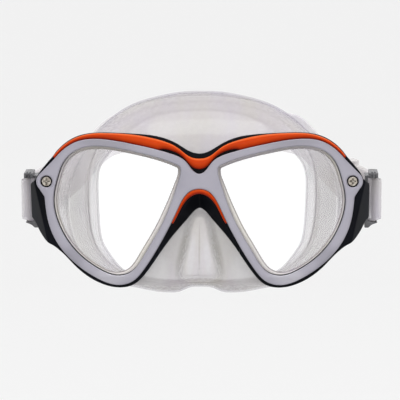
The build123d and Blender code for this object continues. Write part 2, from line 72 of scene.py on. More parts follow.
# ---------------------------------------------------------------- material helpers
def material(name, color, roughness, metallic=0.0, **sockets):
    """A new Principled material; sockets are set directly on the shader."""
    m = bpy.data.materials.new(name)
    m.use_nodes = True
    shader = m.node_tree.nodes["Principled BSDF"]
    shader.inputs["Base Color"].default_value = (*color, 1)
    shader.inputs["Roughness"].default_value = roughness
    shader.inputs["Metallic"].default_value = metallic
    for key, value in sockets.items():
        shader.inputs[key.replace("_", " ")].default_value = value
    return m, shader


def link(m, a, b):
    m.node_tree.links.new(a, b)


def noise(m, scale, detail=3.0, rough=0.5, stretch=(1, 1, 1)):
    """Noise in the object's own space; scale is in features per metre."""
    tree = m.node_tree.nodes
    where = tree.new("ShaderNodeTexCoord")
    shape = tree.new("ShaderNodeMapping")
    shape.inputs["Scale"].default_value = stretch
    n = tree.new("ShaderNodeTexNoise")
    n.inputs["Scale"].default_value = scale
    n.inputs["Detail"].default_value = detail
    n.inputs["Roughness"].default_value = rough
    link(m, where.outputs["Object"], shape.inputs["Vector"])
    link(m, shape.outputs["Vector"], n.inputs["Vector"])
    return n.outputs["Fac"]


def vary(m, socket, source, low, high, start=0.3, end=0.7):
    """Drives a number socket from a 0 to 1 source."""
    r = m.node_tree.nodes.new("ShaderNodeMapRange")
    r.inputs["From Min"].default_value = start
    r.inputs["From Max"].default_value = end
    r.inputs["To Min"].default_value = low
    r.inputs["To Max"].default_value = high
    link(m, source, r.inputs["Value"])
    link(m, r.outputs["Result"], socket)


def blend_colors(m, socket, source, a, b, start=0.35, end=0.65):
    ramp = m.node_tree.nodes.new("ShaderNodeValToRGB")
    ramp.color_ramp.elements[0].position = start
    ramp.color_ramp.elements[1].position = end
    ramp.color_ramp.elements[0].color = (*a, 1)
    ramp.color_ramp.elements[1].color = (*b, 1)
    link(m, source, ramp.inputs["Fac"])
    link(m, ramp.outputs["Color"], socket)


def mirrored_place(m):
    """Object coordinates with X made positive, so that a mark shows alike on both sides."""
    tree = m.node_tree.nodes
    where, split = tree.new("ShaderNodeTexCoord"), tree.new("ShaderNodeSeparateXYZ")
    flip, join = tree.new("ShaderNodeMath"), tree.new("ShaderNodeCombineXYZ")
    flip.operation = "ABSOLUTE"
    link(m, where.outputs["Object"], split.inputs["Vector"])
    link(m, split.outputs["X"], flip.inputs[0])
    link(m, flip.outputs["Value"], join.inputs["X"])
    link(m, split.outputs["Y"], join.inputs["Y"])
    link(m, split.outputs["Z"], join.inputs["Z"])
    return join.outputs["Vector"]


def mix_over(m, socket, amount, color):
    """Blends a linked colour socket towards a colour, by a source from 0 to 1."""
    mix = m.node_tree.nodes.new("ShaderNodeMix")
    mix.data_type = "RGBA"
    factor, first, second, result = mix.inputs[0], mix.inputs[6], mix.inputs[7], mix.outputs[2]
    before = socket.links[0].from_socket
    link(m, amount, factor)
    link(m, before, first)
    second.default_value = (*color, 1)
    link(m, result, socket)


def mark(m, socket, place, center, radii, color, strength=1.0, lean=0.0, soft=0.35):
    """Tints a colour socket inside an ellipsoid, in millimetres.

    Lean turns it in the XZ plane, in degrees. The tint is even out to soft times the radii, then fades.
    """
    tree = m.node_tree.nodes
    fit = tree.new("ShaderNodeMapping")
    fit.vector_type = "TEXTURE"
    fit.inputs["Location"].default_value = tuple(c * MM for c in center)
    fit.inputs["Rotation"].default_value = (0, math.radians(lean), 0)
    fit.inputs["Scale"].default_value = tuple(r * MM for r in radii)
    size = tree.new("ShaderNodeVectorMath")
    size.operation = "LENGTH"
    fade = tree.new("ShaderNodeMapRange")
    fade.interpolation_type = "SMOOTHSTEP"
    fade.inputs["From Min"].default_value = soft
    fade.inputs["From Max"].default_value = 1.0
    fade.inputs["To Min"].default_value = strength
    fade.inputs["To Max"].default_value = 0.0
    link(m, place, fit.inputs["Vector"])
    link(m, fit.outputs["Vector"], size.inputs[0])
    link(m, size.outputs["Value"], fade.inputs["Value"])
    mix_over(m, socket, fade.outputs["Result"], color)


def add_marks(m, socket, marks):
    """Puts a list of marks on a colour socket, alike on both sides."""
    if marks:
        place = mirrored_place(m)
        for row in marks:
            mark(m, socket, place, *row)


def facing(m, axis):
    """One axis of the surface's own direction, as a source from -1 to 1."""
    tree = m.node_tree.nodes
    where, split = tree.new("ShaderNodeTexCoord"), tree.new("ShaderNodeSeparateXYZ")
    link(m, where.outputs["Normal"], split.inputs["Vector"])
    return split.outputs[axis]


def tint(m, socket, source, color, start, end):
    """Blends a linked colour socket towards a colour as the source goes from start to end."""
    fade = m.node_tree.nodes.new("ShaderNodeMapRange")
    fade.inputs["From Min"].default_value = start
    fade.inputs["From Max"].default_value = end
    link(m, source, fade.inputs["Value"])
    mix_over(m, socket, fade.outputs["Result"], color)


def bump(m, shader, source, height, strength=1.0):
    """Height is in metres."""
    b = m.node_tree.nodes.new("ShaderNodeBump")
    b.inputs["Strength"].default_value = strength
    b.inputs["Distance"].default_value = height
    link(m, source, b.inputs["Height"])
    link(m, b.outputs["Normal"], shader.inputs["Normal"])


# ---------------------------------------------------------------- materials
# Painted light and shade marks: centre and radii in millimetres, colour, strength, lean, soft.
# A pale patch of painted light low on the bezel, and two darker patches of painted shade: one low and
# outside, one along the top.
SILVER_PAINTED_LIGHT_AND_SHADE = (
    ((44, -28, -42), (15, 9, 8), (0.58, 0.565, 0.62), 0.8, 25),
    ((62, -28, -32), (8, 9, 8), (0.34, 0.33, 0.38), 0.7),
    ((44, -28, 24), (20, 9, 5), (0.38, 0.365, 0.42), 0.7, -6),
)
# A slate-blue painted sheen on the wings, where their outer facet would catch light.
WING_PAINTED_SHEEN = (
    ((82, -8, -9), (9, 26, 20), (0.0085, 0.0105, 0.0165), 0.9, 0, 0.0),
)


def silver_material():
    m, s = material("satin_silver", (0.45, 0.44, 0.50), 0.42, metallic=0.35, Specular_IOR_Level=0.3)
    fine = noise(m, 2600, detail=2)
    broad = noise(m, 70, detail=4)
    blend_colors(m, s.inputs["Base Color"], broad, (0.43, 0.415, 0.48), (0.48, 0.465, 0.53))
    # Painted light and shade on the bezel, placed by position.
    add_marks(m, s.inputs["Base Color"], SILVER_PAINTED_LIGHT_AND_SHADE)
    vary(m, s.inputs["Roughness"], broad, 0.36, 0.46)
    bump(m, s, fine, 0.000012)
    return m


def orange_material():
    m, s = material("orange_gloss", (0.74, 0.06, 0.001), 0.3, Specular_IOR_Level=0.12)
    broad = noise(m, 60, detail=3)
    blend_colors(m, s.inputs["Base Color"], broad, (0.71, 0.052, 0.0005), (0.80, 0.066, 0.0005))
    # Painted shade on faces turned down, and painted light on faces turned up.
    tint(m, s.inputs["Base Color"], facing(m, "Z"), (0.36, 0.016, 0.0005), -0.15, -0.75)
    tint(m, s.inputs["Base Color"], facing(m, "Z"), (0.88, 0.14, 0.02), 0.2, 0.8)
    vary(m, s.inputs["Roughness"], broad, 0.27, 0.34)
    bump(m, s, noise(m, 1800, detail=2), 0.000006)
    return m


def black_material():
    m, s = material("black_moulded", (0.008, 0.009, 0.012), 0.4, Specular_IOR_Level=0.06)
    grain = noise(m, 2200, detail=2)
    broad = noise(m, 70, detail=3)
    blend_colors(m, s.inputs["Base Color"], broad, (0.0045, 0.005, 0.007), (0.008, 0.009, 0.0135))
    # Painted sheen on the wings, placed by position.
    add_marks(m, s.inputs["Base Color"], WING_PAINTED_SHEEN)
    vary(m, s.inputs["Roughness"], broad, 0.34, 0.46)
    bump(m, s, grain, 0.000018)
    return m


def silicone_material(name, alpha, color, marks=()):
    """Clear silicone with faint warm and cool patches."""
    warmth = 0.035
    m, s = material(name, color, 0.32, Alpha=alpha, IOR=1.41, Specular_IOR_Level=0.4)
    broad = noise(m, 40, detail=3, rough=0.5, stretch=(1.4, 1, 0.6))
    warm = tuple(c + d * warmth for c, d in zip(color, (0.4, 0.0, -1.2)))
    cool = tuple(c + d * warmth for c, d in zip(color, (-0.2, -0.9, 0.9)))
    blend_colors(m, s.inputs["Base Color"], broad, warm, cool, 0.3, 0.7)
    fine = noise(m, 420, detail=2)
    vary(m, s.inputs["Roughness"], fine, 0.2, 0.34)
    bump(m, s, noise(m, 90, detail=3), 0.00015, 0.4)
    # The marks given here are painted light, shade and reflections.
    add_marks(m, s.inputs["Base Color"], marks)
    return m


def glass_material():
    clear = {"Transmission_Weight": 1.0, "IOR": 1.5, "Coat_Roughness": 0.15}
    m, s = material("tempered_glass", (1.0, 1.0, 1.0), 0.0, **clear)
    smear = noise(m, 35, detail=4)
    vary(m, s.inputs["Coat Weight"], smear, 0.0, 0.08, 0.5, 0.75)
    return m


def steel_material():
    m, s = material("machined_steel", (0.22, 0.2, 0.17), 0.3, metallic=1.0)
    lines = noise(m, 700, detail=4)
    vary(m, s.inputs["Roughness"], lines, 0.18, 0.42)
    blend_colors(m, s.inputs["Base Color"], lines, (0.14, 0.12, 0.10), (0.54, 0.50, 0.44))
    bump(m, s, lines, 0.00003)
    return m


def brass_material():
    m, s = material("brass", (0.75, 0.55, 0.25), 0.3, metallic=1.0)
    lines = noise(m, 600, detail=3)
    blend_colors(m, s.inputs["Base Color"], lines, (0.66, 0.47, 0.2), (0.78, 0.58, 0.27))
    vary(m, s.inputs["Roughness"], lines, 0.25, 0.4)
    return m


def nylon_material():
    m, s = material("nylon", (0.75, 0.75, 0.72), 0.5)
    broad = noise(m, 300, detail=3)
    blend_colors(m, s.inputs["Base Color"], broad, (0.70, 0.70, 0.67), (0.78, 0.78, 0.75))
    bump(m, s, broad, 0.00002)
    return m


def smoke_material():
    m, s = material("smoke_plastic", (0.2, 0.2, 0.21), 0.22, Alpha=0.88)
    broad = noise(m, 260, detail=3)
    blend_colors(m, s.inputs["Base Color"], broad, (0.12, 0.12, 0.13), (0.24, 0.24, 0.25))
    vary(m, s.inputs["Roughness"], broad, 0.16, 0.3)
    return m


SILVER = silver_material()
ORANGE = orange_material()
BLACK = black_material()
# Colours for marks painted on the silicone: warm painted shade, pale painted light, and a dark painted
# reflection of the frame.
WARM_PAINTED_SHADE, PAINTED_PALE_LIGHT, PAINTED_FRAME_REFLECTION = (0.44, 0.41, 0.36), (0.86, 0.84, 0.85), (0.06, 0.07, 0.10)
SKIRT_SILICONE = silicone_material("skirt_silicone", 0.5, (0.72, 0.70, 0.70), (
    # A pale patch of painted light on the web beside the nose pocket.
    ((26, -18, -38), (13, 12, 15), PAINTED_PALE_LIGHT, 0.9, 20, 0.5),
    # Painted shade on the nose pocket's sloping sides, a painted highlight on its ridge, and painted shade
    # along its middle seam.
    ((9.2, -26, -29), (3.0, 14, 17), WARM_PAINTED_SHADE, 0.85, -13),
    ((4.0, -26, -32), (2.4, 14, 14), (0.80, 0.78, 0.82), 0.6, -6),
    ((0, -26, -28), (0.7, 14, 16), WARM_PAINTED_SHADE, 0.55),
    # A dark painted reflection of the black frame, on the dome's side wall.
    ((73.2, 24, -5), (4.5, 18, 10), PAINTED_FRAME_REFLECTION, 0.75, 4, 0.5),
))
SEAL_SILICONE = silicone_material("seal_silicone", 0.27, (0.66, 0.635, 0.68), (
    # A dark blue streak of painted reflection on the seal beside the opening.
    ((55.3, 18, 11), (1.3, 14, 9), (0.01, 0.02, 0.08), 1.0, -3, 0.3),
))
LIP_SILICONE = silicone_material("lip_silicone", 0.22, (0.63, 0.61, 0.56))
CREASE_SILICONE = silicone_material("crease_silicone", 0.4, (0.36, 0.33, 0.38))
RIM_SILICONE = silicone_material("rim_silicone", 0.26, (0.55, 0.52, 0.60))
SEAT_SILICONE = silicone_material("seat_silicone", 0.82, (0.97, 0.945, 0.9))
# A darker copy of the seat silicone for the lip's edges: painted shade.
SEAT_EDGE_PAINTED_SHADE = silicone_material("seat_edge_painted_shade", 0.85, (0.46, 0.44, 0.43))
STRAP_SILICONE = silicone_material("strap_silicone", 0.5, (0.86, 0.845, 0.87))
GLASS = glass_material()
STEEL = steel_material()
BRASS = brass_material()
NYLON = nylon_material()
SMOKE = smoke_material()


# ---------------------------------------------------------------- mesh helpers
def facing_out(name, points, faces, weld=0):
    """A mesh from points in millimetres, with its faces turned alike; weld is in metres."""
    data = bpy.data.meshes.new(name)
    data.from_pydata([tuple(p * MM) for p in np.asarray(points, float)], [], [tuple(f) for f in faces])
    bm = bmesh.new()
    bm.from_mesh(data)
    if weld:
        bmesh.ops.remove_doubles(bm, verts=bm.verts, dist=weld)
    bmesh.ops.recalc_face_normals(bm, faces=bm.faces)
    bm.to_mesh(data)
    bm.free()
    return data


def mesh_piece(name, points, faces, finish, body, stands_for=(), sharp=40):
    """A closed piece from points in millimetres, riding on a body."""
    data = facing_out(name, points, faces, weld=0.000002)
    return add_piece(name, data, finish, body, stands_for, sharp)


def add_piece(name, data, finish, body, stands_for=(), sharp=40):
    data.shade_smooth()
    if sharp:
        data.set_sharp_from_angle(angle=math.radians(sharp))
    data.materials.clear()
    data.materials.append(finish)
    piece = bpy.data.objects.new(name, data)
    bpy.context.scene.collection.objects.link(piece)
    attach(piece, body)
    if stands_for:
        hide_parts(*stands_for)
    return piece


def dress(node, finish):
    """A CAD node that keeps its shape gets its material."""
    data = nodes[node].data
    data.materials.clear()
    data.materials.append(finish)


def working(name, data):
    """A passing object that carries a mesh through its modifiers."""
    work = bpy.data.objects.new(name + "_work", data)
    bpy.context.scene.collection.objects.link(work)
    return work


def applied(work):
    """A working object's mesh with its modifiers applied; the object goes."""
    graph = bpy.context.evaluated_depsgraph_get()
    result = bpy.data.meshes.new_from_object(work.evaluated_get(graph))
    bpy.data.objects.remove(work)
    return result


def softened(node, voxel, passes, finish):
    """A CAD node's shape with moulded, rounded edges: voxels, then relaxing."""
    source = nodes[node]
    work = working(node, source.data.copy())
    remesh = work.modifiers.new("remesh", "REMESH")
    remesh.mode = "VOXEL"
    remesh.voxel_size = voxel * MM
    relax = work.modifiers.new("relax", "SMOOTH")
    relax.factor = 0.5
    relax.iterations = passes
    return add_piece(node + "_moulded", applied(work), finish, source["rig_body"], (node,), sharp=0)


def cap_loops(node, y, tolerance=0.02):
    """The outlines of a CAD node's flat face at one Y, as (x, z) loops in millimetres, longest first."""
    data = nodes[node].data
    co = np.array([v.co for v in data.vertices], float) / MM
    flat = np.abs(co[:, 1] - y) < tolerance
    keys = {}
    index = []
    for p, on_face in zip(co, flat):
        index.append(keys.setdefault((round(p[0], 3), round(p[2], 3)), len(keys)) if on_face else -1)
    spots = np.array(list(keys))
    used = {}
    for face in data.polygons:
        ids = [index[v] for v in face.vertices]
        if -1 in ids:
            continue
        for a, b in zip(ids, ids[1:] + ids[:1]):
            if (b, a) in used:
                del used[(b, a)]
            else:
                used[(a, b)] = True
    after = {a: b for a, b in used}
    loops = []
    while after:
        start, nxt = next(iter(after.items()))
        ring = [start]
        while nxt != start and nxt in after:
            ring.append(nxt)
            nxt = after.pop(nxt)
        after.pop(start, None)
        if len(ring) > 2:
            loops.append(spots[ring])
    length = lambda p: np.linalg.norm(np.roll(p, -1, 0) - p, axis=1).sum()
    return sorted(loops, key=length, reverse=True)


def resampled(loop, step):
    """The loop again, with even steps."""
    closed = np.vstack([loop, loop[:1]])
    run = np.concatenate([[0], np.cumsum(np.linalg.norm(np.diff(closed, axis=0), axis=1))])
    count = max(12, int(run[-1] / step))
    at = np.linspace(0, run[-1], count, endpoint=False)
    return np.column_stack([np.interp(at, run, closed[:, k]) for k in range(2)])


def area(loop):
    a, b = loop, np.roll(loop, -1, 0)
    return 0.5 * (a[:, 0] * b[:, 1] - b[:, 0] * a[:, 1]).sum()


def turned(loop, positive):
    return loop if (area(loop) > 0) == positive else loop[::-1]


def normals(loop):
    """Unit normals that point to the right of the direction of travel: outwards on a positive loop."""
    d = np.roll(loop, -1, 0) - np.roll(loop, 1, 0)
    d /= np.linalg.norm(d, axis=1)[:, None] + 1e-12
    n = np.column_stack([d[:, 1], -d[:, 0]])
    for _ in range(2):
        n = np.roll(n, 1, 0) + 2 * n + np.roll(n, -1, 0)
        n /= np.linalg.norm(n, axis=1)[:, None]
    return n


def shifted(loop, amount):
    return loop + normals(loop) * amount


def at_y(loop, y):
    return np.column_stack([loop[:, 0], np.full(len(loop), y), loop[:, 1]])


def band_faces(a, b, count, closed=True):
    """Quads between two rings of points that start at a and b."""
    last = count if closed else count - 1
    return [(a + k, a + (k + 1) % count, b + (k + 1) % count, b + k) for k in range(last)]


def flat_faces(points, loops):
    """Triangles that fill the area between loops of point numbers, the outer loop first."""
    rings = [[Vector((points[i][0], points[i][2], 0)) for i in loop] for loop in loops]
    ids = [i for loop in loops for i in loop]
    return [tuple(ids[i] for i in t) for t in tessellate_polygon(rings)]


def moulding(loops, profile):
    """A plate: each outline is swept through a profile of (inset, y), and both ends are capped."""
    points, faces, ends = [], [], []
    start = 0
    for k, loop in enumerate(loops):
        loop = turned(loop, k == 0)
        for inset, y in profile:
            points.append(at_y(shifted(loop, -inset), y))
        count = len(loop)
        for step in range(len(profile) - 1):
            faces += band_faces(start + step * count, start + (step + 1) * count, count)
        ends.append((start, start + (len(profile) - 1) * count, count))
        start += count * len(profile)
    points = np.vstack(points)
    for which in (0, 1):
        faces += flat_faces(points, [range(e[which], e[which] + e[2]) for e in ends])
    return points, faces


def swept_ring(loop, section):
    """A ring whose closed section is (outward, y) pairs, round an (x, z) loop."""
    loop = turned(loop, True)
    count = len(loop)
    points = np.vstack([at_y(shifted(loop, out), y) for out, y in section])
    faces = []
    for k in range(len(section)):
        faces += band_faces(k * count, ((k + 1) % len(section)) * count, count)
    return points, faces


def rounded(r, y_edge, y_flat, steps=4):
    """Profile points of a quarter round from (0, y_edge) to (r, y_flat)."""
    a = np.linspace(0, math.pi / 2, steps + 1)
    return [(r * (1 - math.cos(t)), y_edge + (y_flat - y_edge) * math.sin(t)) for t in a]


def smooth_loop(half, per=8):
    """A closed symmetric loop through points given for +X, from the top to the bottom middle."""
    half = np.array(half, float)
    full = np.vstack([half, (half[1:-1] * (-1, 1))[::-1]])
    n = len(full)
    system = np.eye(n) * 4 + np.roll(np.eye(n), 1, 0) + np.roll(np.eye(n), -1, 0)
    control = np.linalg.solve(system, full * 6)
    t = np.arange(per)[:, None] / per
    out = []
    for k in range(n):
        a, b, c, d = (control[(k + j) % n] for j in (-1, 0, 1, 2))
        out.append(((1 - t) ** 3 * a + (3 * t**3 - 6 * t**2 + 4) * b
                    + (-3 * t**3 + 3 * t**2 + 3 * t + 1) * c + t**3 * d) / 6)
    return np.vstack(out)


def even_loop(half, count=90):
    """The same loop with evenly spaced points: count steps from the top middle to the bottom middle."""
    per = 12
    run = smooth_loop(half, per)[: (len(half) - 1) * per + 1]
    run = even_run(run, count + 1)
    return np.vstack([run, (run[1:-1] * (-1, 1))[::-1]])


def grid_piece(rings):
    """Quads through a list of equal closed rings."""
    count = len(rings[0])
    faces = []
    for k in range(len(rings) - 1):
        faces += band_faces(k * count, (k + 1) * count, count)
    return np.vstack(rings), faces


def tube_ring(loop, y, section):
    """A closed bead along an (x, z) loop whose Y changes; the section is (outward, back) pairs."""
    rings = []
    for out, back in section + section[:1]:
        flat = shifted(loop, out)
        rings.append(np.column_stack([flat[:, 0], y + back, flat[:, 1]]))
    return grid_piece(rings)


def round_section(radius, steps=10):
    turns = np.arange(steps) * 2 * math.pi / steps
    return [(radius * math.cos(a), radius * math.sin(a)) for a in turns]


def thickened(name, points, faces, thickness, finish, body, slot, stands_for=()):
    """A sheet given a thickness on one side and closed along its edges."""
    work = working(name, facing_out(name, points, faces))
    solid = work.modifiers.new("solid", "SOLIDIFY")
    solid.thickness = thickness * MM
    solid.offset = -1
    solid.use_even_offset = True
    return add_piece(name, applied(work), finish, body, stands_for, sharp=50)


# ---------------------------------------------------------------- bezel and trims
def y_of(node, rear=False):
    low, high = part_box(node)
    return (high if rear else low)[1] / MM


bezel_front, bezel_rear = y_of("front_bezel"), y_of("front_bezel", rear=True)
bezel_loops = [resampled(p, 0.8) for p in cap_loops("front_bezel", bezel_front)]
outline, apertures, screw_holes = bezel_loops[0], bezel_loops[1:3], bezel_loops[3:5]


def build_bezel():
    edge, chamfer = 0.55, 0.25
    profile = [(chamfer, bezel_rear), (0, bezel_rear - chamfer)]
    profile += rounded(edge, bezel_front + edge, bezel_front)
    points, faces = moulding([outline] + apertures + screw_holes, profile)
    mesh_piece("bezel_plate", points, faces, SILVER, "mask", ["front_bezel"], sharp=0)


def strip_halves(loop):
    """A long strip's outline as its upper and lower edge, both from -X to +X."""
    loop = turned(loop, True)
    first, last = int(np.argmin(loop[:, 0])), int(np.argmax(loop[:, 0]))
    ring = np.roll(loop, -first, 0)
    cut = (last - first) % len(loop)
    lower, upper = ring[: cut + 1], np.vstack([ring[cut:], ring[:1]])[::-1]
    return upper, lower


def even_run(line, count):
    run = np.concatenate([[0], np.cumsum(np.linalg.norm(np.diff(line, axis=0), axis=1))])
    at = np.linspace(0, run[-1], count)
    return np.column_stack([np.interp(at, run, line[:, k]) for k in range(2)])


def build_strip(node, piece_name, along, crown):
    """A trim strip with a crowned section between its CAD node's two long edges."""
    y_front, y_rear = y_of(node), y_of(node, rear=True)
    upper, lower = strip_halves(resampled(cap_loops(node, y_front)[0], 0.25))
    upper, lower = even_run(upper, along), even_run(lower, along)
    angles = np.linspace(0, math.pi, crown + 1)
    rings = []
    side, ridge = 0.35, 0.35
    for top, low in zip(upper, lower):
        middle, half = (top + low) / 2, (top - low) / 2
        row = [(*(middle + half), y_rear)]
        for a in angles:
            across = math.cos(a)
            p = middle + half * across
            reach = (across - ridge) / (1 - ridge if across > ridge else 1 + ridge)
            lift = side + (1 - side) * math.sqrt(max(0, 1 - reach * reach))
            row.append((*p, y_rear + (y_front - y_rear) * lift))
        row.append((*(middle - half), y_rear))
        rings.append([(x, y, z) for x, z, y in row])
    count = len(rings[0])
    points = np.array(rings).reshape(-1, 3)
    faces = []
    for k in range(along - 1):
        faces += band_faces(k * count, (k + 1) * count, count)
    faces += [tuple(range(count)), tuple(range((along - 1) * count, along * count))]
    mesh_piece(piece_name, points, faces, ORANGE, "mask", [node], sharp=50)


# ---------------------------------------------------------------- skirt
FACE_RADIUS = 84.0
FACE_LEAN = math.tan(math.radians(3.4))
SKIRT_FRONT = -18.7
SHELL = 1.35         # the skirt's visible wall
SEAL_DEPTH = 3.4     # how far in front of the face the skirt counts as its seal
INNER_WALL = 0.81

FRONT_EDGE = [
    (0, 17.5), (12, 21.5), (24, 25), (38, 27.3), (52, 27.2), (64, 22.3), (71.4, 12), (73.6, 0), (73.2, -9),
    (70.4, -20), (61.5, -33.6), (46, -43.8), (30, -46), (15, -46), (0, -45),
]
FACE_RING = [
    (0, 50.6), (10.5, 50.2), (22, 48.2), (34, 44.8), (46, 38), (59, 25.5), (68.3, 9.5), (71.3, -4),
    (69.6, -19), (60, -34.8), (43, -45.0), (33, -47.5), (24, -49.1), (17, -49.7), (11.8, -49.5), (8.4, -48.3),
    (5, -47.0), (0, -46.8),
]
OPENING = [
    (0, 41.4), (10, 41.0), (20.7, 39.4), (29.8, 36.0), (37.0, 31.2), (42.6, 25.8), (47.2, 20.6),
    (50.8, 16.4), (52.9, 12.0), (53.7, 6.5), (53.6, -2), (53.2, -10.5), (52.5, -18.7), (50.9, -25.5),
    (47.4, -31.1), (40.8, -38.6), (32, -42.4), (22, -43.9), (11, -44.4), (0, -44.0),
]
INNER_LIP = [
    (0, 46.0), (12, 45.4), (24, 43.4), (35.5, 39.4), (47, 31.5), (55, 21), (58.1, 10), (58.6, -2),
    (58.0, -12), (56.7, -20), (53.7, -28.0), (47.4, -35.4), (37.5, -42.0), (25, -45.2), (12, -45.6),
    (0, -45.6),
]
NOSE_ROOT = [
    (0, -8.6), (4.6, -11.2), (12, -20), (19, -29.6), (23.6, -37.5), (20, -43.0), (10, -44.4), (0, -44.0),
]
NOSE_TIP = [
    (0, -13.0), (2.2, -14.4), (3.4, -20), (5.0, -28), (7.2, -36), (7.4, -40.2), (4.6, -41.6), (0, -41.0),
]
NOSE_SLOPE = 5.0


def face_y(points):
    """Y of the wearer's face at (x, z)."""
    return FACE_RADIUS - np.sqrt(FACE_RADIUS**2 - points[:, 0] ** 2) + FACE_LEAN * points[:, 1]


def nose_height(t, run, z):
    """How far the nose pocket stands out from the flat web: a bell that deepens towards the nostrils."""
    bell = np.clip(1 - (1 - t) * run / NOSE_SLOPE, 0, 1)
    bell = bell * bell * (3 - 2 * bell)
    return (5.5 + 5.3 * np.clip((-z - 13) / 24, 0, 1)) * bell


def nose_wells(x, z):
    """Finger wells beside the nose, and a faint seam down its middle."""
    span = np.clip((-z - 16) / 10, 0, 1)
    well = 0.7 * np.exp(-(((np.abs(x) - 9.4 + 0.16 * (z + 40)) / 1.5) ** 2))
    seam = 0.35 * np.exp(-((x / 0.6) ** 2))
    return (well + seam) * span


def nose_rings():
    """From the pocket's root in the web, up its sides and over its front."""
    root, tip = even_loop(NOSE_ROOT, 60), even_loop(NOSE_TIP, 60)
    run = np.linalg.norm(root - tip, axis=1)
    middle = np.column_stack([np.zeros(len(tip)), np.clip(tip[:, 1], -37, -18)])
    rings = []
    for t in np.concatenate([np.linspace(0, 1, 26), 1 + np.linspace(0, 1, 8)[1:-1]]):
        flat = root + (tip - root) * t if t <= 1 else tip + (middle - tip) * (t - 1)
        rise = nose_height(min(t, 1), run, flat[:, 1])
        ring = at_y(flat, SKIRT_FRONT)
        ring[:, 1] -= rise - nose_wells(flat[:, 0], flat[:, 1]) * np.clip(rise / 3, 0, 1)
        rings.append(ring)
    return rings


def shell_rings():
    """From the seal's inner edge out to the face ring, and forward over the dome to the flat front."""
    front, ring, hole = even_loop(FRONT_EDGE), even_loop(FACE_RING), even_loop(OPENING)
    lip = (
        (1.0, 0.9), (0.94, 0.25), (0.87, 0.7), (0.80, 1.7), (0.73, 2.5), (0.66, 1.9), (0.57, 0.9),
        (0.42, 0.35), (0.25, 0.1), (0.10, 0.0), (0.03, 0.15), (0.0, 0.7),
    )
    rings = []
    for inward, forward in lip:
        flat = ring + (hole - ring) * inward
        rings.append(np.column_stack([flat[:, 0], face_y(flat) - forward, flat[:, 1]]))
    for t in (0.9, 0.79, 0.66, 0.52, 0.38, 0.25, 0.14, 0.06, 0.02):
        flat = front + (ring - front) * math.sin(t * math.pi / 2)
        y = SKIRT_FRONT + (face_y(ring) - 1.2 - SKIRT_FRONT) * t / 0.9
        rings.append(np.column_stack([flat[:, 0], y, flat[:, 1]]))
    rings.append(at_y(shifted(turned(front, True), -0.7)[::-1], SKIRT_FRONT))
    return rings


def build_skirt():
    """One moulded sheet: seal, dome, flat front with the two lens necks, and nose pocket."""
    dome, nose = shell_rings(), nose_rings()
    points, faces = grid_piece(dome)
    points = list(points)
    nose_points, nose_faces = grid_piece(nose)
    base = len(points)
    points += list(nose_points)
    faces += [tuple(i + base for i in f) for f in nose_faces]
    last = base + len(nose_points) - len(nose[-1])
    faces.append(tuple(range(last, last + len(nose[-1]))))
    edge_start = base - len(dome[-1])
    loops = [list(range(edge_start, base)), list(range(base, base + len(nose[0])))]
    for aperture in apertures:
        neck = shifted(turned(resampled(aperture, 1.4), True), 0.6)
        loops.append(list(range(len(points), len(points) + len(neck))))
        points += list(at_y(neck, SKIRT_FRONT))
    faces += flat_faces(points, loops)
    shell = (points, faces, SHELL, SKIRT_SILICONE)
    piece = thickened("skirt_shell", *shell, "mask", "clear_silicone", ["skirt"])
    data = piece.data
    data.materials.append(SEAL_SILICONE)
    centers = np.array([f.center for f in data.polygons]) / MM
    behind = centers[:, 1] > face_y(centers[:, [0, 2]]) - SEAL_DEPTH
    data.polygons.foreach_set("material_index", behind.astype(np.int32))


def build_inner_lip():
    """The seal's second, inner lip: it leaves the flange near the outside and stands off the face."""
    ring, edge = even_loop(FACE_RING), even_loop(INNER_LIP)
    room = np.clip((np.linalg.norm(edge - ring, axis=1) - 3) / 8, 0, 1)
    rings = []
    for t in (0.14, 0.3, 0.5, 0.7, 0.85, 0.95, 1.0):
        flat = ring + (edge - ring) * t
        stand = 1.2 + 3.2 * np.sin(t * math.pi / 2) * room
        rings.append(np.column_stack([flat[:, 0], face_y(flat) - stand, flat[:, 1]]))
    points, faces = grid_piece(rings)
    thickened("skirt_inner_lip", points, faces, INNER_WALL, LIP_SILICONE, "mask", "clear_silicone")
    rim = turned((rings[-1] + (0, 0.35, 0))[:, [0, 2, 1]], True)
    points, faces = tube_ring(rim[:, :2], rim[:, 2], round_section(0.3, 8))
    mesh_piece("skirt_bead_lip", points, faces, CREASE_SILICONE, "mask", sharp=0)


def build_skirt_beads():
    """The thickened rims of the seal: round the outside, and round the opening."""
    for name, half, forward, radius in (("outer", FACE_RING, 0.9, 0.75), ("inner", OPENING, 0.9, 0.6)):
        loop = turned(even_loop(half), True)
        points, faces = tube_ring(loop, face_y(loop) - forward, round_section(radius))
        mesh_piece(f"skirt_bead_{name}", points, faces, RIM_SILICONE, "mask", sharp=0)


LIP_Y = -27.5
GLASS_FRONT, GLASS_REAR = -26.85, -22.75     # with a little clearance


def lip_widths(loop, sign):
    """How far the seat's lip shows inside the bezel: wide beside the nose, narrow along the brow."""
    n = normals(loop) * (sign, 1)
    inward = np.clip(-0.87 * n[:, 0] - 0.5 * n[:, 1], 0, 1) * np.clip((10 - loop[:, 1]) / 20, 0.1, 1)
    return (1.2 + 1.15 * inward + 0.4 * np.clip(n[:, 0], 0, 1))[:, None]


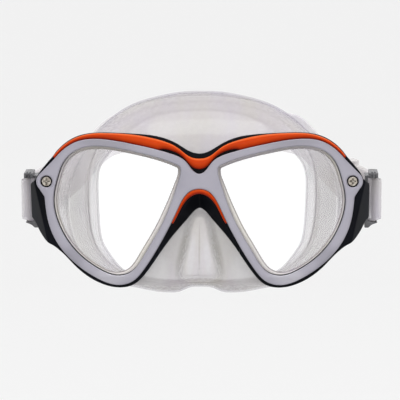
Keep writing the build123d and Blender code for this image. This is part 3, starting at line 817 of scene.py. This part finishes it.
def build_lens_seats():
    """The silicone grooves that hold the glass, with the lip that shows inside the bezel."""
    line, slope = 0.55, 0.2
    crown = 0.45
    for name, sign in SIDES:
        loop = turned(next(p for p in apertures if p[:, 0].mean() * sign > 0), True)
        lip = lip_widths(loop, sign)
        section = [
            (-lip, -27.1), (slope - lip, -27.4), (line - lip, LIP_Y), ((line - lip - crown) / 2, -27.85),
            (-crown, -27.75), (-0.3, LIP_Y), (2.2, LIP_Y), (2.2, -21.5), (0.6, -21.4), (0.6, -16.9),
            (-0.9, -16.9), (-1.1, -17.1), (-1.1, -22.5), (-0.9, GLASS_REAR), (1.6, GLASS_REAR),
            (1.6, GLASS_FRONT), (slope - lip, GLASS_FRONT),
        ]
        points, faces = swept_ring(loop, section)
        title = f"lens_seat_{name}"
        piece = mesh_piece(title, points, faces, SEAT_SILICONE, "mask", sharp=35)
        # The lip's edge faces take the darker copy: a thin line of painted shade.
        piece.data.materials.append(SEAT_EDGE_PAINTED_SHADE)
        around = np.arange(len(piece.data.polygons)) // len(loop)
        edge = np.isin(around, (0, 1, len(section) - 1)).astype(np.int32)
        piece.data.polygons.foreach_set("material_index", edge)


def build_shoulders():
    """The frame's dark shoulder, which shows as a thin line between bezel and silicone, low and outside."""
    section = [(0.6, -27.45), (-0.12, -27.45), (-0.12, -27.7), (0.6, -27.7)]
    for name, sign in SIDES:
        loop = next(p for p in apertures if p[:, 0].mean() * sign > 0)
        points, faces = swept_ring(loop, section)
        points += np.array((-0.26 * sign, 0, 0.26))
        mesh_piece(f"frame_shoulder_{name}", points, faces, BLACK, "mask", sharp=35)


# ---------------------------------------------------------------- strap
TILT = math.radians(12)
PIVOT_Z = -3.6
PIN_X, PIN_BACK, PIN_R = 87.2, 1.5, 1.15
THICK, WIDTH, PANEL, SLOT = 1.6, 22.0, 30.0, 8.0
TAIL_REACH = 80.0    # Y behind which the band is one layer
RISE, RISE_START, RISE_END = 16.5, 75.0, 49.0
PANEL_END, BAND_START = 28.0, 42.0
FOLD_R = PIN_R + 0.05 + THICK / 2
TAIL_GAP = 0.25
FOLD_SLACK = 1.0     # how far the fold stands off its pin, outwards
HEAD_OUTSIDE = -1    # the side of the band that faces away from the head
STRAIGHT = 9.0
TEMPLE_R, TEMPLE_TURN = 35.0, 18.0
SIDE_R, SIDE_TURN, TAIL_TURN = 300.0, 15.0, 9.0
TAIL_LEAN, TAIL_R = 14.0, 10.0
SLOT_END = 33.0
SLOT_CLOSED = 0.05   # half a gap below which the slot counts as closed
RIB_PITCH, RIB_DEPTH, RIB_EDGE, RIB_FADE = 1.8, 0.22, 1.6, 0.6
TOOTH_PITCH, TOOTH_HEIGHT, TOOTH_REACH, TOOTH_HALF = 2.8, 0.22, 34.0, 4.5
END_ROUND = 4.0
RIM = np.array([0, 0.08, 0.25, 0.5, 0.8])    # steps in from an edge, over its rounding
RIM_END = 0.8


def walk(start, heading, moves, step):
    """Points and left-hand normals along straight runs and bends; heading in degrees from +X."""
    x, y = start
    a = math.radians(heading)
    out = [(x, y, -math.sin(a), math.cos(a))]
    for move in moves:
        length = move[0] if len(move) == 1 else move[0] * math.radians(abs(move[1]))
        count = max(2, int(math.ceil(length / step)))
        turn = 0 if len(move) == 1 else math.radians(move[1])
        for _ in range(count):
            half = turn / count / 2
            chord = length / count if turn == 0 else 2 * move[0] * math.sin(abs(half))
            a += half
            x += chord * math.cos(a)
            y += chord * math.sin(a)
            a += half
            out.append((x, y, -math.sin(a), math.cos(a)))
    return np.array(out)


def strap_line():
    """The strap's middle line, seen square on to its width, from one free end to the other."""
    start = (PIN_X - FOLD_R, PIN_BACK)
    bent = TEMPLE_TURN + SIDE_TURN
    reach = start[0] - TEMPLE_R * (1 - math.cos(math.radians(TEMPLE_TURN)))
    reach -= SIDE_R * (math.cos(math.radians(TEMPLE_TURN)) - math.cos(math.radians(bent)))
    rear = reach / math.cos(math.radians(bent))
    main = [(STRAIGHT,), (TEMPLE_R, TEMPLE_TURN), (SIDE_R, SIDE_TURN), (rear, 90 - bent)]
    main = walk(start, 90, main, 1.4)
    shift = 2 * FOLD_R - THICK - TAIL_GAP
    turn = math.radians(TAIL_LEAN)
    straight = (shift - (FOLD_R + TAIL_R) * (1 - math.cos(turn))) / math.sin(turn)
    used = straight * math.cos(turn) + (FOLD_R + TAIL_R) * math.sin(turn)
    outer = THICK + TAIL_GAP
    tail = [
        (FOLD_R, 180 + TAIL_LEAN), (straight,), (TAIL_R, -TAIL_LEAN), (STRAIGHT - used,),
        (TEMPLE_R + outer, TEMPLE_TURN), (SIDE_R + outer, TAIL_TURN),
    ]
    tail = walk(start, 270, tail, 0.7)
    tail = tail[::-1] * (1, 1, -1, -1)
    half = np.vstack([tail[:-1], main])
    other = half[::-1] * (-1, 1, -1, 1)
    return half, other


def smooth(t):
    t = np.clip(t, 0, 1)
    return t * t * (3 - 2 * t)


def strap_rise(x, layer):
    """How far the band has climbed above its line at the buckle, at a place across the head."""
    return RISE * smooth((RISE_START - np.abs(x) + layer) / (RISE_START - RISE_END))


def strap_widths(x, on_tail):
    """Half width, and half the slot's width, at a place across the head."""
    a = np.abs(x)
    tall = (WIDTH + (PANEL - WIDTH) * smooth((BAND_START - a) / (BAND_START - PANEL_END))) / 2
    tall = np.where(on_tail, WIDTH / 2, tall)
    end = SLOT_END - SLOT / 2
    rounding = np.sqrt(np.clip(1 - ((a - end) / (SLOT / 2)) ** 2, 0, 1))
    slot = np.where(a < end, SLOT / 2, SLOT / 2 * rounding)
    return tall, np.where(on_tail, 0, slot)


def strap_rows(sign, slot, tall, from_end):
    """Across each row, from the slot or the middle line to one edge: offsets, half thickness, grooves."""
    inner_steps = np.linspace(0, 1, 19)[1:-1]
    curve = np.sqrt(np.clip(1 - (1 - RIM / RIM_END) ** 2, 0, 1)) * THICK / 2
    edge_steps = len(RIM)
    rows = []
    for gap, edge, to_end in zip(slot, tall, from_end):
        open_here = gap > SLOT_CLOSED
        near = gap + RIM if open_here else np.linspace(0, RIM_END, edge_steps)
        far = edge - RIM[::-1]
        between = near[-1] + (far[0] - near[-1]) * inner_steps
        w = np.concatenate([near, between, far])
        thick = np.full(len(w), THICK / 2)
        if open_here:
            thick[:edge_steps] = curve
        thick[-edge_steps:] = curve[::-1]
        if to_end < RIM_END:
            thick *= math.sqrt(max(0.02, 1 - (1 - to_end / RIM_END) ** 2))
        groove = RIB_DEPTH * (0.5 - 0.5 * np.cos(2 * math.pi * w / RIB_PITCH))
        groove *= np.clip((edge - RIB_EDGE - w) / RIB_FADE, 0, 1)
        groove *= np.clip((w - gap - 1.0) / RIB_FADE, 0, 1) if open_here else 1
        rows.append((sign * w, thick, groove))
    return rows


def strap_faces(base, count, wide, slot):
    """Half the band's faces: both skins, the edge and the slot's edge, and the two ends."""
    faces = []
    other_side = count * wide
    for s in (base, base + other_side):
        for k in range(count - 1):
            a, b = s + k * wide, s + (k + 1) * wide
            faces += [(a + j, a + j + 1, b + j + 1, b + j) for j in range(wide - 1)]
    for k in range(count - 1):
        for j in (0, wide - 1):
            if j == 0 and slot[k] <= SLOT_CLOSED and slot[k + 1] <= SLOT_CLOSED:
                continue
            a, b = base + k * wide + j, base + (k + 1) * wide + j
            faces.append((a, b, b + other_side, a + other_side))
    for k in (0, count - 1):
        a = base + k * wide
        faces += [(a + j, a + j + 1, a + j + 1 + other_side, a + j + other_side) for j in range(wide - 1)]
    return faces


def build_strap():
    """The band with its grooves outside and its teeth on the free ends, which lie outside the band."""
    half, other = strap_line()
    line = np.vstack([half, other[1:]])
    count = len(line)
    line[:, 0] += np.sign(line[:, 0]) * FOLD_SLACK * smooth((np.abs(line[:, 0]) - PIN_X) / 2)
    start = int(np.argmax(half[:, 0]))
    outer = np.zeros(count)
    outer[:start] = THICK + TAIL_GAP
    outer[count - start:] = THICK + TAIL_GAP
    rise = strap_rise(line[:, 0], outer)
    tall, slot = strap_widths(line[:, 0], line[:, 1] < TAIL_REACH)
    folded = np.clip((np.abs(line[:, 0]) - PIN_X + 0.7) / 2.6, 0, 1) * (line[:, 1] < PIN_BACK + 4)
    tall = tall - 0.9 * folded ** 2
    run = np.concatenate([[0], np.cumsum(np.linalg.norm(np.diff(line[:, :2], axis=0), axis=1))])
    from_end = np.minimum(run, run[-1] - run)
    corner = np.sqrt(np.clip(1 - ((END_ROUND - from_end) / END_ROUND) ** 2 * 0.35, 0, 1))
    tall = tall * np.where(from_end < END_ROUND, corner, 1)
    toothed = (from_end > 3) & (from_end < TOOTH_REACH)
    teeth = np.where(toothed, TOOTH_HEIGHT * (np.cos(2 * math.pi * from_end / TOOTH_PITCH) > 0), 0)
    points, faces = [], []
    for sign in (1, -1):
        rows = strap_rows(sign, slot, tall, from_end)
        faces += strap_faces(len(points), count, len(rows[0][0]), slot)
        for face_side in (1, -1):
            for row, ((w, thick, groove), (x, y, nx, ny)) in enumerate(zip(rows, line)):
                if face_side == HEAD_OUTSIDE:
                    h = thick - groove
                    h = h - 0.8 * folded[row] * (w / (WIDTH / 2)) ** 2
                else:
                    h = thick + teeth[row] * (np.abs(w) < TOOTH_HALF)
                for a, b in zip(w, h):
                    points.append((x + nx * b * face_side, y + ny * b * face_side, a + rise[row]))
    points = np.array(points)
    c, s = math.cos(TILT), math.sin(TILT)
    back = points[:, 1] * c - points[:, 2] * s
    up = points[:, 1] * s + points[:, 2] * c + PIVOT_Z
    placed = np.column_stack([points[:, 0], back, up])
    mesh_piece("strap_band", placed, faces, STRAP_SILICONE, "strap", ["strap"], sharp=0)


# ---------------------------------------------------------------- everything in place
build_bezel()
build_strip("brow_trim", "brow_strip", 220, 12)
build_strip("nose_arch_trim", "nose_arch_strip", 90, 8)
softened("main_frame", 0.5, 6, BLACK)
build_skirt()
build_inner_lip()
build_skirt_beads()
build_lens_seats()
build_shoulders()
build_strap()
for side, _ in SIDES:
    dress(f"lens_{side}", GLASS)
    softened(f"buckle_base_{side}", 0.25, 3, SMOKE)
    softened(f"release_lever_{side}", 0.16, 3, SMOKE)
    softened(f"strap_keeper_{side}", 0.3, 3, STRAP_SILICONE)
    dress(f"strap_pin_{side}", STEEL)
    dress(f"lever_pin_{side}", STEEL)
    dress(f"lever_spring_{side}", STEEL)
softened("bezel_screws", 0.12, 2, STEEL)
dress("bezel_screw_inserts", BRASS)
dress("pivot_screws", STEEL)
dress("pivot_screw_inserts", BRASS)
dress("pivot_washers", NYLON)


# ---------------------------------------------------------------- floor, light, camera
def build_floor():
    """A pale floor that sweeps up into a round wall, so that the ground is plain from every side."""
    profile = [(0.001, 0.0), (1.2, 0.0), (1.8, 0.03), (2.2, 0.16), (2.42, 0.4), (2.5, 0.8), (2.5, 2.6)]
    floor_z = -0.3
    count = 96
    rings = []
    for r, z in profile:
        a = np.linspace(0, 2 * math.pi, count, endpoint=False)
        rings.append(np.column_stack([r * np.cos(a), r * np.sin(a), np.full(count, z + floor_z)]))
    points, faces = grid_piece(rings)
    data = bpy.data.meshes.new("floor")
    data.from_pydata([tuple(p) for p in points], [], faces)
    data.shade_smooth()
    finish, shader = material("pale_floor", (0.3, 0.3, 0.3), 0.9, Emission_Color=(1, 1, 1, 1))
    where = finish.node_tree.nodes.new("ShaderNodeTexCoord")
    split = finish.node_tree.nodes.new("ShaderNodeSeparateXYZ")
    link(finish, where.outputs["Object"], split.inputs["Vector"])
    vary(finish, shader.inputs["Emission Strength"], split.outputs["Y"], 0.26, 0.61, -0.6, 1.3)
    data.materials.append(finish)
    floor = bpy.data.objects.new("floor", data)
    bpy.context.scene.collection.objects.link(floor)


def area_light(name, place, target, size, power, color=(1, 1, 1)):
    data = bpy.data.lights.new(name, "AREA")
    data.shape = "RECTANGLE"
    data.size, data.size_y = size
    data.energy = power
    data.color = color
    lamp = bpy.data.objects.new(name, data)
    lamp.location = place
    lamp.rotation_euler = (Vector(target) - Vector(place)).to_track_quat("-Z", "Y").to_euler()
    lamp.visible_camera = False
    bpy.context.scene.collection.objects.link(lamp)
    return lamp


build_floor()
area_light("front_softbox", (0, -1.9, 0.0), (0, 0, 0), (0.75, 0.6), 3.0)
for side, sign in SIDES:
    area_light(f"{side}_strip", (1.7 * sign, 0.35, 0.15), (0.08 * sign, 0, 0), (0.35, 1.3), 2.5)
area_light("top_softbox", (0, -0.6, 1.3), (0, 0, 0), (1.4, 0.7), 9)

world = bpy.data.worlds.new("studio")
world.use_nodes = True
world.node_tree.nodes["Background"].inputs["Color"].default_value = (1, 1, 1, 1)
world.node_tree.nodes["Background"].inputs["Strength"].default_value = 0.9
bpy.context.scene.world = world
bpy.context.scene.view_settings.view_transform = "Standard"

DISTANCE = 1.0
VIEW_WIDTH = 0.196
ASIDE = 0.03
camera = bpy.data.cameras.new("camera")
camera.sensor_width = 36
camera.lens = camera.sensor_width * DISTANCE / VIEW_WIDTH
eye = bpy.data.objects.new("camera", camera)
eye.location = (0.0004 + ASIDE, bezel_front * MM - DISTANCE, -0.0039)
eye.rotation_euler = (math.radians(90), 0, math.atan2(ASIDE, DISTANCE))
bpy.context.scene.collection.objects.link(eye)
bpy.context.scene.camera = eye
